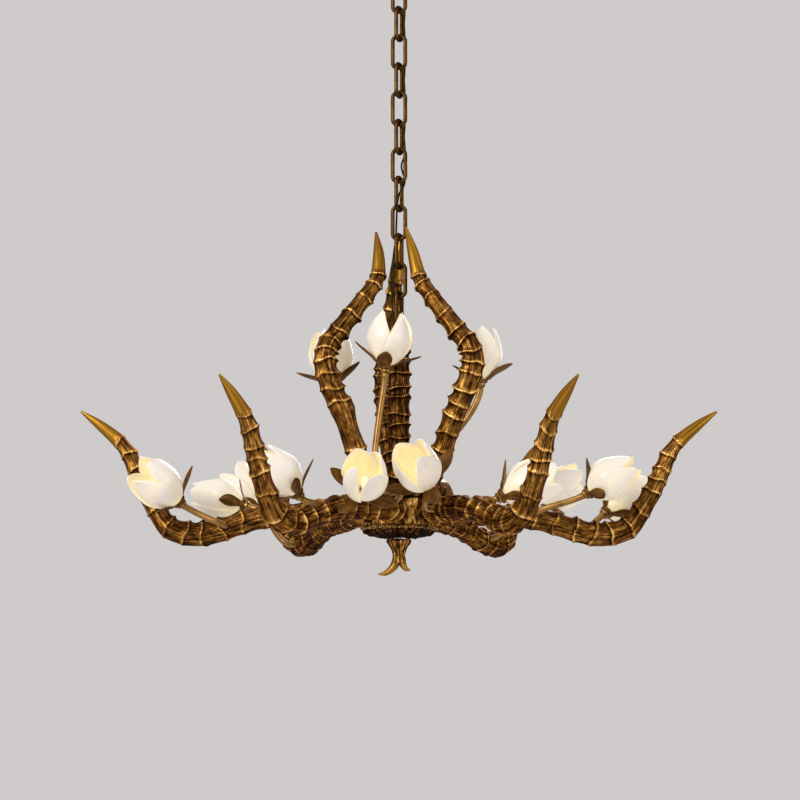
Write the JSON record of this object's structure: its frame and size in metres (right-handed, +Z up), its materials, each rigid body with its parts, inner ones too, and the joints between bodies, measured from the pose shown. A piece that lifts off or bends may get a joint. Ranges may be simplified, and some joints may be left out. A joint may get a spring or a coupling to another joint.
{
  "type": "resin branch chandelier",
  "caption": "Chandelier of ribbed resin horns on a central hub, with flower shaded lamps on curved stems, hung by a link chain from a ceiling canopy.",
  "frame": {"origin": "middle of the canopy's face on the ceiling, between its two screw slots", "axes": "+Z up to the ceiling, -Y to the viewer of the picture, +X to that viewer's right"},
  "size_m": [0.9614, 0.833, 0.9756],
  "materials": {
    "gold_brown_resin": "cast resin painted antique gold over dark brown, gold rubbed on the ribs",
    "dark_resin": "dark brown painted resin",
    "bronze_steel": "steel wire in dark bronze paint",
    "zinc_steel": "zinc plated",
    "antique_gold_metal": "pressed sheet painted antique gold",
    "brass_stem": "aged brass tube",
    "bronze_leaf": "thin sheet leaves painted bronze brown",
    "brass_holder": "aged brass",
    "warm_lamp_glass": "clear capsule over a warm light",
    "cream_petal": "moulded white glass, matt outside, lit warm from inside",
    "white_plastic": "moulded",
    "black_rubber": "soft grommet",
    "olive_cord": "round cord with a dark sheath"
  },
  "bodies": {
    "ceiling_mount": {"canopy_cover": "antique_gold_metal", "ceiling_crossbar": "zinc_steel", "canopy_loop": "bronze_steel", "canopy_collar": "antique_gold_metal", "terminal_block": "white_plastic", "cord_bush": "black_rubber"},
    "link_01": {"chain_link_01": "bronze_steel"},
    "link_02": {"chain_link_02": "bronze_steel"},
    "link_03": {"chain_link_03": "bronze_steel"},
    "link_04": {"chain_link_04": "bronze_steel"},
    "link_05": {"chain_link_05": "bronze_steel"},
    "link_06": {"chain_link_06": "bronze_steel"},
    "link_07": {"chain_link_07": "bronze_steel"},
    "link_08": {"chain_link_08": "bronze_steel"},
    "link_09": {"chain_link_09": "bronze_steel"},
    "link_10": {"chain_link_10": "bronze_steel"},
    "link_11": {"chain_link_11": "bronze_steel"},
    "link_12": {"chain_link_12": "bronze_steel"},
    "chandelier": {"eye_bolt": "bronze_steel", "column": "gold_brown_resin", "column_cap": "gold_brown_resin", "crown_plate": "gold_brown_resin", "hub_core": "gold_brown_resin", "bead_band": "gold_brown_resin", "lower_dish": "dark_resin", "finial_washer": "zinc_steel", "finial_cap": "gold_brown_resin", "finial_horns": "gold_brown_resin", "horn_studs": "zinc_steel", "arm_horn_1": "gold_brown_resin", "arm_horn_2": "gold_brown_resin", "arm_horn_3": "gold_brown_resin", "arm_horn_4": "gold_brown_resin", "arm_horn_5": "gold_brown_resin", "arm_horn_6": "gold_brown_resin", "crown_horn_1": "gold_brown_resin", "crown_horn_2": "gold_brown_resin", "crown_horn_3": "gold_brown_resin", "flower_stems": "brass_stem", "calyx_cups": "bronze_leaf", "lamp_holders": "brass_holder", "lamp_bulbs": "warm_lamp_glass", "power_cord": "olive_cord", "flower_shade_01": "cream_petal", "flower_shade_02": "cream_petal", "flower_shade_03": "cream_petal", "flower_shade_04": "cream_petal", "flower_shade_05": "cream_petal", "flower_shade_06": "cream_petal", "flower_shade_07": "cream_petal", "flower_shade_08": "cream_petal", "flower_shade_09": "cream_petal", "flower_shade_10": "cream_petal", "flower_shade_11": "cream_petal", "flower_shade_12": "cream_petal", "flower_shade_13": "cream_petal", "flower_shade_14": "cream_petal", "flower_shade_15": "cream_petal"}
  },
  "joints": [
    {"name": "canopy_swing", "type": "hinge", "parent": "ceiling_mount", "child": "link_01", "pos_m": [0, 0, -0.0568], "axis": [0.9962, -0.0872, 0], "range_deg": [-12, 12], "deforming": ["power_cord"]},
    {"name": "link_02_on_link_01", "type": "hinge", "parent": "link_01", "child": "link_02", "pos_m": [0, 0, -0.1078], "axis": [0.9962, -0.0872, 0], "range_deg": [-4, 4], "deforming": ["power_cord"]},
    {"name": "link_03_on_link_02", "type": "hinge", "parent": "link_02", "child": "link_03", "pos_m": [0, 0, -0.1523], "axis": [0.4384, 0.8988, 0], "range_deg": [-12, 12], "deforming": ["power_cord"]},
    {"name": "link_04_on_link_03", "type": "hinge", "parent": "link_03", "child": "link_04", "pos_m": [0, 0, -0.1968], "axis": [0.9962, -0.0872, 0], "range_deg": [-4, 4], "deforming": ["power_cord"]},
    {"name": "link_05_on_link_04", "type": "hinge", "parent": "link_04", "child": "link_05", "pos_m": [0, 0, -0.2413], "axis": [0.4384, 0.8988, 0], "range_deg": [-4, 4], "deforming": ["power_cord"]},
    {"name": "link_06_on_link_05", "type": "hinge", "parent": "link_05", "child": "link_06", "pos_m": [0, 0, -0.2858], "axis": [0.9962, -0.0872, 0], "range_deg": [-4, 4], "deforming": ["power_cord"]},
    {"name": "chain_twist", "type": "hinge", "parent": "link_06", "child": "link_07", "pos_m": [0, 0, -0.3303], "axis": [0, 0, 1], "range_deg": [-40, 16], "deforming": ["power_cord"]},
    {"name": "link_08_on_link_07", "type": "hinge", "parent": "link_07", "child": "link_08", "pos_m": [0, 0, -0.3748], "axis": [0.9962, -0.0872, 0], "range_deg": [-4, 4], "deforming": ["power_cord"]},
    {"name": "link_09_on_link_08", "type": "hinge", "parent": "link_08", "child": "link_09", "pos_m": [0, 0, -0.4193], "axis": [0.4384, 0.8988, 0], "range_deg": [-3, 3], "deforming": ["power_cord"]},
    {"name": "link_10_on_link_09", "type": "hinge", "parent": "link_09", "child": "link_10", "pos_m": [0, 0, -0.4638], "axis": [0.9962, -0.0872, 0], "range_deg": [-1.5, 1.5], "deforming": ["power_cord"]},
    {"name": "link_11_on_link_10", "type": "hinge", "parent": "link_10", "child": "link_11", "pos_m": [0, 0, -0.5083], "axis": [0.4384, 0.8988, 0], "range_deg": [-1.5, 1.5], "deforming": ["power_cord"]},
    {"name": "link_12_on_link_11", "type": "hinge", "parent": "link_11", "child": "link_12", "pos_m": [0, 0, -0.5528], "axis": [0.9962, -0.0872, 0], "range_deg": [-1.5, 1.5], "deforming": ["power_cord"]},
    {"name": "chandelier_on_last_link", "type": "hinge", "parent": "link_12", "child": "chandelier", "pos_m": [0, 0, -0.5973], "axis": [0.4384, 0.8988, 0], "range_deg": [-2, 2], "deforming": ["power_cord"]}
  ]
}
